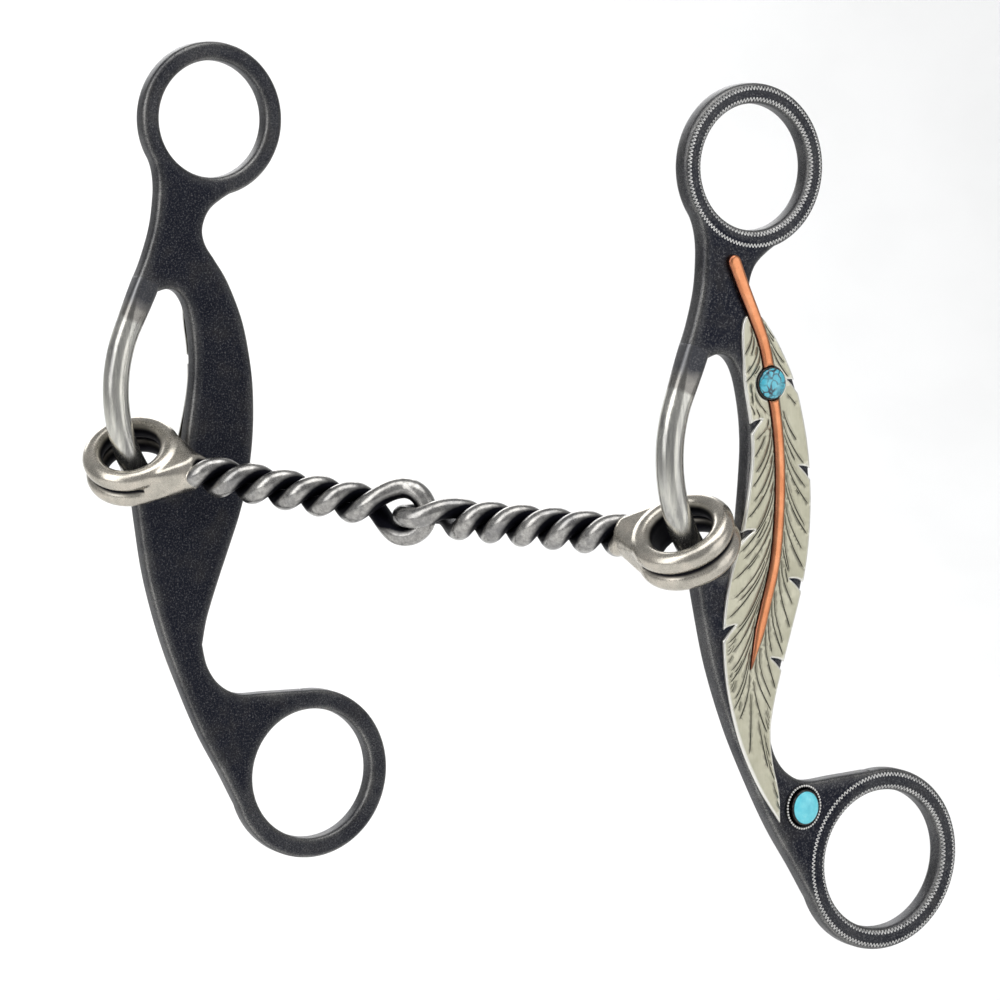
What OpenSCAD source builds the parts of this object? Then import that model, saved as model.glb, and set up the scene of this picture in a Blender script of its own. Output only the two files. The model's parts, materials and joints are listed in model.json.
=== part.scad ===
// Loose-cheek curb bit with a jointed twisted-wire mouthpiece and feather cheeks.
// Right cheek in the XZ plane, outer face towards -Y, mouthpiece towards +Y.
// Origin: centre of the right headstall ring. +Z up. All sizes in millimetres.

/* [Cheek plate] */
// Thickness of both cheek plates
plate_t = 4.8; // [4:0.2:6]
// Inner radius of the headstall ring
head_bore_r = 13; // [12:0.5:14]
// Radial width of the headstall ring
head_band = 4.2; // [3.5:0.1:5]
// Inner radius of the rein ring
rein_bore_r = 15; // [14:0.5:16]
// Radial width of the rein ring
rein_band = 4.6; // [4:0.1:5.5]
// Rounding of the two rings' edges
ring_edge_r = 0.8; // [0.4:0.1:1.2]

/* [Bow bar] */
// Diameter of the polished bow bar
bow_d = 5.8; // [5:0.1:6]
// Radius of the bow bar's curve, at its axis
bow_r = 35; // [34:0.5:36]
// Length of the straight stretch at the top of the bow bar
bow_lead = 10; // [9:0.5:11]

/* [Overlays] */
// Thickness of the feather sheet
feather_t = 0.8; // [0.6:0.1:1.2]
// Height of the quill above the cheek
quill_t = 1.4; // [1.2:0.1:2]
// Width of the quill at its top end, where it is widest
quill_w = 3; // [2.4:0.1:3.2]
// Radius of the round stone on the quill
quill_stone_r = 3; // [2.6:0.1:3.2]
// Half width of the oval stone on the shank
shank_stone_rx = 2.9; // [2.5:0.1:3.1]
// Half height of the oval stone on the shank
shank_stone_rz = 3.3; // [2.9:0.1:3.5]
// Number of beads round the oval stone
bead_count = 22; // [18:1:24]

/* [Mouthpiece] */
// Diameter of the mouthpiece wire
wire_d = 4.5; // [4.2:0.1:4.6]
// Length of one full turn of the twist
twist_lead = 16; // [14:1:20]
// Distance from a bow bar to the centre of that half's eye
eye_x = 66; // [60:1:70]
// Radius of the eye, at the wire's axis
eye_r = 5.2; // [5.1:0.1:5.4]
// Inner radius of the end rings
end_ring_bore_r = 6.5; // [6.3:0.1:6.8]
// Diameter of the end rings' wire
end_ring_d = 4.6; // [4:0.1:4.6]
// Tilt of the end rings about the mouthpiece
end_ring_tilt = 38; // [36:1:40]

/* [Stored pose] */
// Swing of the right half from the cheek's normal
right_swing = 26; // [15:1:30]
// Rise of the right half
right_rise = 1.5; // [0:0.5:4]
// Swing of the left half from the cheek's normal
left_swing = 40; // [34:1:42]
// Rise of the left half
left_rise = 8; // [4:0.5:8]
// Roll of the left cheek in its own plane
left_roll = 4; // [0:0.5:6]

/* [Hidden] */
$fn = 64;

// Plate positions are [x, z] from the centre of the headstall ring.
rein_centre = [34.3, -147.8];
bow_centre = [15.75, -59.5];
bow_top_angle = 20;
bow_low_angle = 38;
curve_steps = 6;

function aside(angle) = [cos(angle), sin(angle)];
function bow_point(r, angle) = bow_centre - r * aside(angle);
bow_top_end = bow_point(bow_r, -bow_top_angle) + bow_lead * [sin(bow_top_angle), cos(bow_top_angle)];
bow_top_across = bow_d / 2 * aside(-bow_top_angle);
// The straight stretch is a hair thicker than the curve and laps over its end.
lead_step = 0.2;
lead_lap = 1;

// Edges of the plate, each a smooth curve through a few stations.
front_edge_high = [
    [-14.4, -9.2], [-13.3, -11.6], [-12.6, -14.6], [-12.4, -18.5], [-12.9, -25], [-14.6, -32],
    bow_top_end - bow_top_across,
];
slot_edge = [
    bow_top_end + bow_top_across, [-8.3, -38.4], [-5.6, -39.4], [-3.4, -43], [-1.8, -50], [-1.2, -57],
    [-1.5, -64], [-2.1, -71], [-2.7, -76], [-4.2, -80.6], [-6.2, -83.4], [-8, -83.8],
    bow_point(bow_r - bow_d / 2, bow_low_angle),
];
front_edge_low = [
    bow_point(bow_r + bow_d / 2, bow_low_angle), [-12.8, -90], [-9.8, -103], [-5.3, -116],
    [-0.3, -127], [5.7, -138.5], [11.8, -148], [17, -156.4], [21.5, -162],
];
rear_edge_low = [[31, -128.4], [22, -128.9], [14.5, -129.2], [9.6, -127], [6.4, -123], [4.8, -118]];
rear_edge_high = [
    [4.8, -118], [5.6, -112], [7.7, -104], [10.1, -96], [12.4, -88], [13.9, -80], [14.5, -70],
    [13.9, -60], [12.4, -52], [10, -44], [6, -36], [2.6, -31.4], [0, -28], [-0.9, -24.5], [0.4, -20.5],
    [3.6, -17.5], [8, -14.8],
];

// Feather, inset a little from the edges that it follows.
feather_front = [
    [-0.3, -29.2], [-2.6, -30.8], [-3.4, -33.5], [-3.3, -38], [-2.6, -45], [-1.3, -52], [-0.7, -58],
    [-1.1, -64], [-2.4, -72], [-4, -78], [-6.4, -86], [-7.6, -95], [-7.2, -104], [-5.6, -112],
    [-2.6, -121], [2, -130], [6.9, -137.2],
];
feather_rear = [
    [6.9, -137.2], [6.6, -131], [4.9, -124], [4.3, -118], [5.1, -112], [7.2, -104], [9.6, -96],
    [11.9, -88], [13.4, -80], [14, -70], [13.4, -60], [11.9, -52], [9.5, -44], [5.5, -36.3], [2.2, -31.7],
];
// Splits in the vane: where each opens on the edge, and where it ends inside.
feather_splits = [
    [[-1.8, -54.6], [1.6, -52]], [[-4, -76.8], [0, -75]], [[-8.3, -97], [-4.6, -94.5]],
    [[11, -46], [7.8, -43.9]], [[14.5, -64.4], [10.9, -62]], [[12.4, -87.8], [8.7, -85.6]],
    [[8, -104.6], [4.2, -102]],
];
split_w = 2;
split_lift = [0, 0.35];

quill_line = [
    [-5.6, -19.4], [-3.2, -25], [-0.4, -31], [2, -37], [3.6, -44.6], [5.2, -53], [6, -62], [5.9, -72],
    [4.9, -82], [2.6, -91], [-1, -104.2],
];
quill_stone_at = [3.6, -44.6];
shank_stone_at = [13, -134.4];
bezel_wall = 0.5;
bezel_h = 1.5;
bead_r = 0.45;
bead_base_h = 0.5;
bead_edge = 0.15;

// Pose of each mouthpiece half: where it hangs on its bar, and which way it runs.
loop_angle = asin(17.5 / bow_r);
loop_at = bow_point(bow_r, loop_angle);
function heading(azimuth, rise) = [cos(azimuth) * cos(rise), sin(azimuth) * cos(rise), sin(rise)];
right_azimuth = 90 + right_swing;
left_azimuth = 270 + left_swing;
right_loop = [loop_at[0], 0, loop_at[1]];
fold_at = right_loop + eye_x * heading(right_azimuth, right_rise);
left_loop = fold_at - (eye_x + eye_r) * heading(left_azimuth, -left_rise);
left_origin = left_loop - [
    loop_at[0] * cos(left_roll) + loop_at[1] * sin(left_roll), 0,
    loop_at[1] * cos(left_roll) - loop_at[0] * sin(left_roll),
];

// End rings, neck and twist, along +X from the bow bar.
end_ring_x = 0.6;
end_ring_r = end_ring_bore_r + end_ring_d / 2;
end_ring_gap = 0.1;
neck_spread = 44;
neck_end_x = 16.5;
neck_end_d = 8.8;
neck_t = 6;
wire_start_x = 14.5;
strand_r = wire_d / 2 + 0.05;
eye_blend = 9;
tube_sides = 12;
twist_step = 1;
eye_arc_steps = 12;

function catmull(a, b, c, d, t) =
    ((2 * b) + (c - a) * t + (2 * a - 5 * b + 4 * c - d) * t ^ 2 + (3 * b - a - 3 * c + d) * t ^ 3) / 2;
function smooth_through(p, steps = curve_steps) = [
    for (i = [0:len(p) - 2])
        for (k = [0:steps - 1])
            catmull(p[max(i - 1, 0)], p[i], p[i + 1], p[min(i + 2, len(p) - 1)], k / steps),
    p[len(p) - 1],
];
function unit(v) = v / norm(v);
function normal_at(p, i) =
    let (d = unit(p[min(i + 1, len(p) - 1)] - p[max(i - 1, 0)])) [-d[1], d[0]];
function ellipse_points(rx, rz, count = 48) = [
    for (i = [0:count - 1]) [rx * cos(360 * i / count), rz * sin(360 * i / count)],
];

// Strand of the twist at a distance along the half, on one side or the other.
function eased(s) = s < eye_blend ? s ^ 2 / (2 * eye_blend) : s - eye_blend / 2;
function blend(t) = let (u = min(max(t, 0), 1)) u * u * (3 - 2 * u);
function strand_point(x, side) =
    let (
        s = eye_x - x,
        turn = 360 * eased(s) / twist_lead,
        r = side * (strand_r + (eye_r - strand_r) * (1 - blend(s / eye_blend)))
    )
    [x, r * cos(turn), r * sin(turn)];
twist_steps = round((eye_x - wire_start_x) / twist_step);
wire_path = [
    for (i = [0:twist_steps]) strand_point(wire_start_x + (eye_x - wire_start_x) * i / twist_steps, 1),
    for (i = [1:eye_arc_steps - 1])
        let (a = 90 - 180 * i / eye_arc_steps)
        [eye_x + eye_r * cos(a), eye_r * sin(a), 0],
    for (i = [0:twist_steps]) strand_point(eye_x - (eye_x - wire_start_x) * i / twist_steps, -1),
];

// Side view of the plate between the two rings, open where the bow bar closes it.
module plate_outline() {
    polygon(concat(
        smooth_through(front_edge_high),
        smooth_through(slot_edge),
        smooth_through(front_edge_low),
        smooth_through(rear_edge_low),
        smooth_through(rear_edge_high)
    ));
}

module quill_outline() {
    line = smooth_through(quill_line);
    last = len(line) - 1;
    function half_w(i) = quill_w / 2 * min(max(0.78, 1 - 0.55 * i / last), 12 * (1 - i / last));
    across = half_w(0) * normal_at(line, 0);
    outward = half_w(0) * unit(line[0] - line[1]);
    polygon(concat(
        [for (i = [0:last]) line[i] + half_w(i) * normal_at(line, i)],
        [for (i = [last - 1:-1:0]) line[i] - half_w(i) * normal_at(line, i)],
        [for (a = [20:20:160]) line[0] - cos(a) * across + sin(a) * outward]
    ));
}

module feather_split(from, to) {
    across = split_w / 2 * [-unit(to - from)[1], unit(to - from)[0]];
    middle = (from + to) / 2 + split_lift;
    polygon(concat(
        smooth_through([from - across, middle - 0.6 * across, to], 4),
        smooth_through([to, middle + 0.6 * across, from + across], 4)
    ));
}

module round_at(centre, r) {
    translate(centre)
        circle(r = r);
}

module oval_at(centre, grow) {
    translate(centre)
        polygon(ellipse_points(shank_stone_rx + grow, shank_stone_rz + grow));
}

// Raises a side-view shape from the cheek's outer face.
module on_face(height) {
    rotate([90, 0, 0])
        translate([0, 0, plate_t / 2])
            linear_extrude(height)
                children();
}

module ring_section(r_in, r_out) {
    e = ring_edge_r;
    corners = [
        [r_out - e, plate_t / 2 - e, 0], [r_in + e, plate_t / 2 - e, 90],
        [r_in + e, e - plate_t / 2, 180], [r_out - e, e - plate_t / 2, 270],
    ];
    polygon([for (c = corners) for (a = [0:30:90]) [c[0], c[1]] + e * aside(c[2] + a)]);
}

module cheek_ring(centre, r_in, band) {
    translate([centre[0], 0, centre[1]])
        rotate([90, 0, 0])
            rotate_extrude($fn = 96)
                ring_section(r_in, r_in + band);
}

module cheek_bore(centre, r) {
    translate([centre[0], 0, centre[1]])
        rotate([90, 0, 0])
            cylinder(h = 2 * plate_t, r = r, center = true, $fn = 96);
}

module cheek() {
    difference() {
        rotate([90, 0, 0])
            linear_extrude(plate_t, center = true)
                plate_outline();
        cheek_bore([0, 0], head_bore_r + head_band / 2);
        cheek_bore(rein_centre, rein_bore_r + rein_band / 2);
    }
    cheek_ring([0, 0], head_bore_r, head_band);
    cheek_ring(rein_centre, rein_bore_r, rein_band);
}

module bow_bar() {
    sweep_angle = bow_top_angle + bow_low_angle;
    translate([bow_centre[0], 0, bow_centre[1]])
        rotate([90, 0, 0])
            rotate([0, 0, 180 - bow_top_angle])
                rotate_extrude(angle = sweep_angle, $fn = 96)
                    translate([bow_r, 0])
                        circle(d = bow_d, $fn = 48);
    translate([bow_top_end[0], 0, bow_top_end[1]])
        rotate([0, 180 + bow_top_angle, 0])
            cylinder(h = bow_lead + lead_lap, d = bow_d + lead_step, $fn = 48);
}

module feather() {
    on_face(feather_t)
        difference() {
            polygon(concat(smooth_through(feather_front, 4), smooth_through(feather_rear, 4)));
            for (s = feather_splits)
                feather_split(s[0], s[1]);
            quill_outline();
            round_at(quill_stone_at, quill_stone_r + bezel_wall);
        }
}

module quill() {
    on_face(quill_t)
        difference() {
            quill_outline();
            round_at(quill_stone_at, quill_stone_r + bezel_wall);
        }
}

module quill_bezel() {
    on_face(bezel_h)
        difference() {
            round_at(quill_stone_at, quill_stone_r + bezel_wall);
            round_at(quill_stone_at, quill_stone_r);
        }
}

// Low dome standing on a short drum.
module quill_stone() {
    on_face(bezel_h)
        round_at(quill_stone_at, quill_stone_r);
    dome_h = 0.7;
    dome_r = (quill_stone_r ^ 2 + dome_h ^ 2) / (2 * dome_h);
    translate([quill_stone_at[0], -plate_t / 2 - bezel_h, quill_stone_at[1]])
        rotate([90, 0, 0])
            intersection() {
                translate([0, 0, dome_h - dome_r])
                    sphere(r = dome_r, $fn = 96);
                cylinder(h = dome_h + 1, r = quill_stone_r);
            }
}

module shank_bezel() {
    on_face(bezel_h)
        difference() {
            oval_at(shank_stone_at, bezel_wall);
            oval_at(shank_stone_at, 0);
        }
}

module shank_bead_rim() {
    bead_line = bezel_wall + 0.1 + bead_r;
    on_face(bead_base_h)
        difference() {
            oval_at(shank_stone_at, bead_line + bead_r + bead_edge);
            oval_at(shank_stone_at, bezel_wall);
        }
    for (p = ellipse_points(shank_stone_rx + bead_line, shank_stone_rz + bead_line, bead_count))
        translate([shank_stone_at[0] + p[0], -plate_t / 2 - bead_base_h, shank_stone_at[1] + p[1]])
            sphere(r = bead_r, $fn = 28);
}

// Stepped oval cabochon.
module shank_stone() {
    steps = [[bezel_h, 0], [bezel_h + 0.3, -0.4], [bezel_h + 0.5, -1]];
    for (s = steps)
        on_face(s[0])
            oval_at(shank_stone_at, s[1]);
}

// End rings, neck and twisted wire in the half's own frame.
module end_rings(tilt) {
    offset = (end_ring_d + end_ring_gap) / 2;
    translate([end_ring_x, 0, 0])
        rotate([tilt, 0, 0])
            for (z = [-offset, offset])
                translate([0, 0, z])
                    rotate_extrude($fn = 72)
                        translate([end_ring_r, 0])
                            circle(d = end_ring_d, $fn = 36);
}

module neck(tilt) {
    difference() {
        hull() {
            for (a = [-neck_spread, neck_spread])
                translate([end_ring_x, 0, 0])
                    rotate([tilt, 0, 0])
                        translate([end_ring_r * cos(a), end_ring_r * sin(a), 0])
                            cylinder(h = neck_t, d = end_ring_d * 0.8, center = true, $fn = 24);
            translate([neck_end_x - 1, 0, 0])
                rotate([0, 90, 0])
                    cylinder(h = 1, d = neck_end_d, $fn = 32);
        }
        translate([end_ring_x, 0, 0])
            rotate([tilt, 0, 0])
                cylinder(h = 4 * end_ring_d, r = end_ring_bore_r, center = true);
    }
}

// Tube of round wire swept along a path, closed at both ends.
module wire_tube(path, d) {
    count = len(path);
    function along(i) = unit(path[min(i + 1, count - 1)] - path[max(i - 1, 0)]);
    rims = [
        for (i = [0:count - 1])
            let (t = along(i), u = unit(cross([0, 0, 1], t)), v = cross(t, u))
            for (k = [0:tube_sides - 1])
                path[i] + d / 2 * (cos(360 * k / tube_sides) * u + sin(360 * k / tube_sides) * v)
    ];
    sides = [
        for (i = [0:count - 2])
            for (k = [0:tube_sides - 1])
                let (n = (k + 1) % tube_sides, a = i * tube_sides, b = a + tube_sides)
                each [[a + k, b + k, b + n], [a + k, b + n, a + n]]
    ];
    near_cap = [for (k = [0:tube_sides - 1]) k];
    far_cap = [for (k = [tube_sides - 1:-1:0]) (count - 1) * tube_sides + k];
    polyhedron(points = rims, faces = concat(sides, [near_cap, far_cap]));
}

module twisted_wire(eye_roll) {
    rotate([eye_roll, 0, 0])
        wire_tube(wire_path, wire_d);
}

// Places a cheek part on the left: the mirror twin, rolled and moved.
module on_left_cheek() {
    translate(left_origin)
        rotate([0, left_roll, 0])
            mirror([0, 1, 0])
                children();
}

module on_right_half() {
    translate(right_loop)
        rotate([0, -right_rise, right_azimuth])
            children();
}

module on_left_half() {
    translate(left_loop)
        rotate([0, left_rise, left_azimuth])
            children();
}

module right_cheek() { color("#3a3a40") cheek(); }
module right_bow_bar() { color("#c6c6c2") bow_bar(); }
module right_feather() { color("#b9b8a2") feather(); }
module right_quill() { color("#d08a66") quill(); }
module right_quill_bezel() { color("#4a4340") quill_bezel(); }
module right_quill_stone() { color("#49b4cc") quill_stone(); }
module right_shank_bezel() { color("#4a4340") shank_bezel(); }
module right_shank_bead_rim() { color("#a8a89e") shank_bead_rim(); }
module right_shank_stone() { color("#5fc4d8") shank_stone(); }
module right_end_rings() { color("#b8b2a2") on_right_half() end_rings(-end_ring_tilt); }
module right_neck() { color("#b0aa98") on_right_half() neck(-end_ring_tilt); }
module right_twisted_wire() { color("#a9a9a9") on_right_half() twisted_wire(0); }
module left_twisted_wire() { color("#a9a9a9") on_left_half() twisted_wire(90); }
module left_neck() { color("#b0aa98") on_left_half() neck(end_ring_tilt); }
module left_end_rings() { color("#b8b2a2") on_left_half() end_rings(end_ring_tilt); }
module left_cheek() { color("#3a3a40") on_left_cheek() cheek(); }
module left_bow_bar() { color("#c6c6c2") on_left_cheek() bow_bar(); }
module left_feather() { color("#b9b8a2") on_left_cheek() feather(); }
module left_quill() { color("#d08a66") on_left_cheek() quill(); }
module left_quill_bezel() { color("#4a4340") on_left_cheek() quill_bezel(); }
module left_quill_stone() { color("#49b4cc") on_left_cheek() quill_stone(); }
module left_shank_bezel() { color("#4a4340") on_left_cheek() shank_bezel(); }
module left_shank_bead_rim() { color("#a8a89e") on_left_cheek() shank_bead_rim(); }
module left_shank_stone() { color("#5fc4d8") on_left_cheek() shank_stone(); }

right_cheek();
right_bow_bar();
right_feather();
right_quill();
right_quill_bezel();
right_quill_stone();
right_shank_bezel();
right_shank_bead_rim();
right_shank_stone();
right_end_rings();
right_neck();
right_twisted_wire();
left_twisted_wire();
left_neck();
left_end_rings();
left_cheek();
left_bow_bar();
left_feather();
left_quill();
left_quill_bezel();
left_quill_stone();
left_shank_bezel();
left_shank_bead_rim();
left_shank_stone();
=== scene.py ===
"""Looks of a loose-cheek curb bit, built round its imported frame. Shapes are worked out in millimetres."""

import json
import math
import random

import bmesh
import bpy
import numpy as np
from mathutils import Matrix, Vector
from mathutils.geometry import delaunay_2d_cdt


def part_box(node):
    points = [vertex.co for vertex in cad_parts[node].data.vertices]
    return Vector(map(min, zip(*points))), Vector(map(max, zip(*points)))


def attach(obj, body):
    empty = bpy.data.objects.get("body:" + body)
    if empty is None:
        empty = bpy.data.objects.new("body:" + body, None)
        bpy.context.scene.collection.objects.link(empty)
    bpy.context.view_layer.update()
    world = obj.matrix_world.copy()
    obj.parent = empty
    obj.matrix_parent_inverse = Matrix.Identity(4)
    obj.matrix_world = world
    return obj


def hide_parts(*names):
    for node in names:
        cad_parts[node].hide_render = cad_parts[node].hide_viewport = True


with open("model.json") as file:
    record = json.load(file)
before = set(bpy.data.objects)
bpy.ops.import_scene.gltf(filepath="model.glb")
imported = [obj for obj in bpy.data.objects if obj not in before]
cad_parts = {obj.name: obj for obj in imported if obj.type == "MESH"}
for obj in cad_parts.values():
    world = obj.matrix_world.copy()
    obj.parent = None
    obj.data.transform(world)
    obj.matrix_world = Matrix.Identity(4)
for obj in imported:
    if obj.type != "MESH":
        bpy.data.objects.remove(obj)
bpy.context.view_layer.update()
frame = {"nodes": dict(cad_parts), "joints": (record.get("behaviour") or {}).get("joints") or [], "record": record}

MM = 0.001
UP = Vector((0, 0, 1))

# ---------------------------------------------------------------- places taken from the frame

mount_at = {m["name"]: Vector(m["pos_m"]) / MM for m in frame["record"]["mounts"]}
mount_r = {m["name"]: m["dims"]["r_mm"] for m in frame["record"]["mounts"]}
joint_at = {j["name"]: Vector(j["pos_m"]) / MM for j in frame["joints"]}


def box_mm(node):
    low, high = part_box(node)
    return low / MM, high / MM


def lean(v):
    """Angle of a vector in the XZ plane, from +Z towards +X."""
    return math.atan2(v.x, v.z)


head_r, rein_r = mount_r["right_headstall_ring"], mount_r["right_rein_ring"]
head_at = Vector((0, 0, 0))
rein_at = mount_at["right_rein_ring"] - mount_at["right_headstall_ring"]
left_rein_at = mount_at["left_rein_ring"] - mount_at["left_headstall_ring"]
left_roll = lean(left_rein_at) - lean(rein_at)
mirror = Matrix.Scale(-1, 4, (0, 1, 0))
cheek_frames = {
    "right": Matrix.Identity(4),
    "left": Matrix.Translation(mount_at["left_headstall_ring"])
    @ Matrix.Rotation(left_roll, 4, "Y")
    @ mirror,
}
plate_t = box_mm("right_cheek")[1].y - box_mm("right_cheek")[0].y
face_y = plate_t / 2
feather_top = -box_mm("right_feather")[0].y
quill_top = -box_mm("right_quill")[0].y
bezel_top = -box_mm("right_quill_bezel")[0].y
stone_top = -box_mm("right_quill_stone")[0].y
oval_top = -box_mm("right_shank_stone")[0].y


def half_frame(loop, fold):
    """Frame of a mouthpiece half: origin at the bow bar, +X towards the centre joint."""
    d = fold - loop
    azimuth = math.atan2(d.y, d.x)
    rise = math.asin(d.z / d.length)
    turn = Matrix.Rotation(azimuth, 4, "Z") @ Matrix.Rotation(-rise, 4, "Y")
    return Matrix.Translation(loop) @ turn


right_loop = joint_at["right_cheek_swivel"]
left_loop = joint_at["left_cheek_swivel"]
fold_at = joint_at["centre_fold"]
half_frames = {"right": half_frame(right_loop, fold_at), "left": half_frame(left_loop, fold_at)}
eye_x = (fold_at - right_loop).length
eye_r = (fold_at - left_loop).length - eye_x

# ---------------------------------------------------------------- sizes, in millimetres

edge_round = 1.4
edge_reach = 5
foot_sunk = 0.1
groove_depth = 0.22
bezel_wall = 0.5
inner_line_gap = 0.85
head_outer_line_gap = 3.15
rein_outer_line_gap = 3.5
head_tooth_pitch = 0.79
rein_tooth_pitch = 0.85
wire_d = 4.5
twist_lead = 16
strand_r = wire_d / 2 + 0.05
eye_blend = 9
wire_start_x = 14.5
end_ring_d = 4.6
end_ring_hole_r = 6.5
end_ring_r = end_ring_hole_r + end_ring_d / 2
end_ring_x = 0.6
end_ring_gap = 0.1
end_ring_tilt = 38
bow_d = 5.8
bow_r = 35
bow_centre = Vector((15.75, 0, -59.5))
bow_top_angle = 20
bow_low_angle = 38
bow_lead = 10

# ---------------------------------------------------------------- small mesh tools


def catmull(a, b, c, d, t):
    return 0.5 * (
        2 * b + (c - a) * t + (2 * a - 5 * b + 4 * c - d) * t**2 + (3 * b - a - 3 * c + d) * t**3
    )


def smoothstep(t):
    t = np.clip(t, 0, 1)
    return t * t * (3 - 2 * t)


def chain(edges):
    """Joins pairs of vertex numbers into closed loops."""
    beside = {}
    for a, b in edges:
        beside.setdefault(a, []).append(b)
        beside.setdefault(b, []).append(a)
    loops = []
    left = set(beside)
    while left:
        start = min(left)
        loop = [start]
        left.discard(start)
        here = start
        while True:
            ahead = [n for n in beside[here] if n in left]
            if not ahead:
                break
            here = ahead[0]
            left.discard(here)
            loop.append(here)
        if len(loop) > 5:
            loops.append(loop)
    return loops


def area(loop):
    x, z = loop[:, 0], loop[:, 1]
    return 0.5 * float(np.sum(x * np.roll(z, -1) - np.roll(x, -1) * z))


def section(node, y):
    """Outlines, as arrays of (x, z), where the plane of that y cuts a node."""
    bm = bmesh.new()
    bm.from_mesh(frame["nodes"][node].data)
    bmesh.ops.remove_doubles(bm, verts=bm.verts, dist=1e-6)
    cut = bmesh.ops.bisect_plane(
        bm,
        geom=bm.verts[:] + bm.edges[:] + bm.faces[:],
        plane_co=(0, y * MM, 0),
        plane_no=(0, 1, 0),
    )["geom_cut"]
    bm.verts.index_update()
    edges = [(e.verts[0].index, e.verts[1].index) for e in cut if isinstance(e, bmesh.types.BMEdge)]
    bm.verts.ensure_lookup_table()
    loops = [
        np.array([(bm.verts[i].co.x / MM, bm.verts[i].co.z / MM) for i in loop])
        for loop in chain(edges)
    ]
    bm.free()
    return sorted(loops, key=lambda p: -abs(area(p)))


def turning(loop):
    back = loop - np.roll(loop, 1, axis=0)
    ahead = np.roll(loop, -1, axis=0) - loop
    cross = back[:, 0] * ahead[:, 1] - back[:, 1] * ahead[:, 0]
    dot = np.sum(back * ahead, axis=1)
    return np.degrees(np.arctan2(cross, dot))


def smooth_outline(loop, spacing, corner=28):
    """The same outline with even points, smooth between its corners."""
    keep = np.linalg.norm(loop - np.roll(loop, 1, axis=0), axis=1) > 0.02
    loop = loop[keep]
    loop = loop[np.abs(turning(loop)) > 0.15]
    bend = np.abs(turning(loop))
    corners = [i for i in range(len(loop)) if bend[i] > corner]
    n = len(loop)
    out = []
    runs = (
        [(corners[k], corners[(k + 1) % len(corners)]) for k in range(len(corners))]
        if corners
        else [(0, 0)]
    )
    for a, b in runs:
        count = (b - a) % n or n
        run = [loop[(a + k) % n] for k in range(count + 1)]
        first = loop[a - 1] if not corners else run[0]
        last = loop[(b + 1) % n] if not corners else run[-1]
        run = [first, *run, last]
        fine = [
            catmull(run[k], run[k + 1], run[k + 2], run[k + 3], t / 6)
            for k in range(count)
            for t in range(6)
        ]
        fine.append(run[-2])
        fine = np.array(fine)
        along = np.concatenate([[0], np.cumsum(np.linalg.norm(np.diff(fine, axis=0), axis=1))])
        steps = max(1, round(along[-1] / spacing))
        at = np.linspace(0, along[-1], steps + 1)[:-1]
        out.append(np.column_stack([np.interp(at, along, fine[:, i]) for i in (0, 1)]))
    return np.concatenate(out)


def oriented(loops):
    """Outer loops run anticlockwise and holes clockwise."""
    out = []
    for i, p in enumerate(loops):
        inside = sum(contains(q, p[:1])[0] for j, q in enumerate(loops) if j != i)
        want = 1 if inside % 2 == 0 else -1
        out.append((p if area(p) * want > 0 else p[::-1], want))
    return out


def contains(loop, points):
    x, z = points[:, 0][:, None], points[:, 1][:, None]
    a, b = loop, np.roll(loop, -1, axis=0)
    crosses = (a[:, 1] > z) != (b[:, 1] > z)
    with np.errstate(divide="ignore", invalid="ignore"):
        at = (b[:, 0] - a[:, 0]) * (z - a[:, 1]) / (b[:, 1] - a[:, 1]) + a[:, 0]
    return (np.sum(crosses & (x < at), axis=1) % 2).astype(bool)


def within(loops, points):
    inside = np.zeros(len(points), int)
    for p, _ in loops:
        inside += contains(p, points)
    return inside % 2 == 1


def distance(segments, points, block=2000):
    """Least distance from each point to a set of segments."""
    a, b = segments
    d = b - a
    long2 = np.maximum(np.sum(d * d, axis=1), 1e-12)
    out = np.empty(len(points))
    for k in range(0, len(points), block):
        p = points[k : k + block, None, :]
        t = np.clip(np.sum((p - a) * d, axis=2) / long2, 0, 1)
        gap = p - (a + t[..., None] * d)
        out[k : k + block] = np.sqrt(np.min(np.sum(gap * gap, axis=2), axis=1))
    return out


def segments_of(loops):
    a = np.concatenate([p for p, _ in loops])
    b = np.concatenate([np.roll(p, -1, axis=0) for p, _ in loops])
    return a, b


def hex_grid(low, high, step):
    rows = np.arange(low[1], high[1], step * 0.866)
    points = []
    for k, z in enumerate(rows):
        xs = np.arange(low[0] + (k % 2) * step / 2, high[0], step)
        points.append(np.column_stack([xs, np.full(len(xs), z)]))
    return np.concatenate(points)


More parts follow.
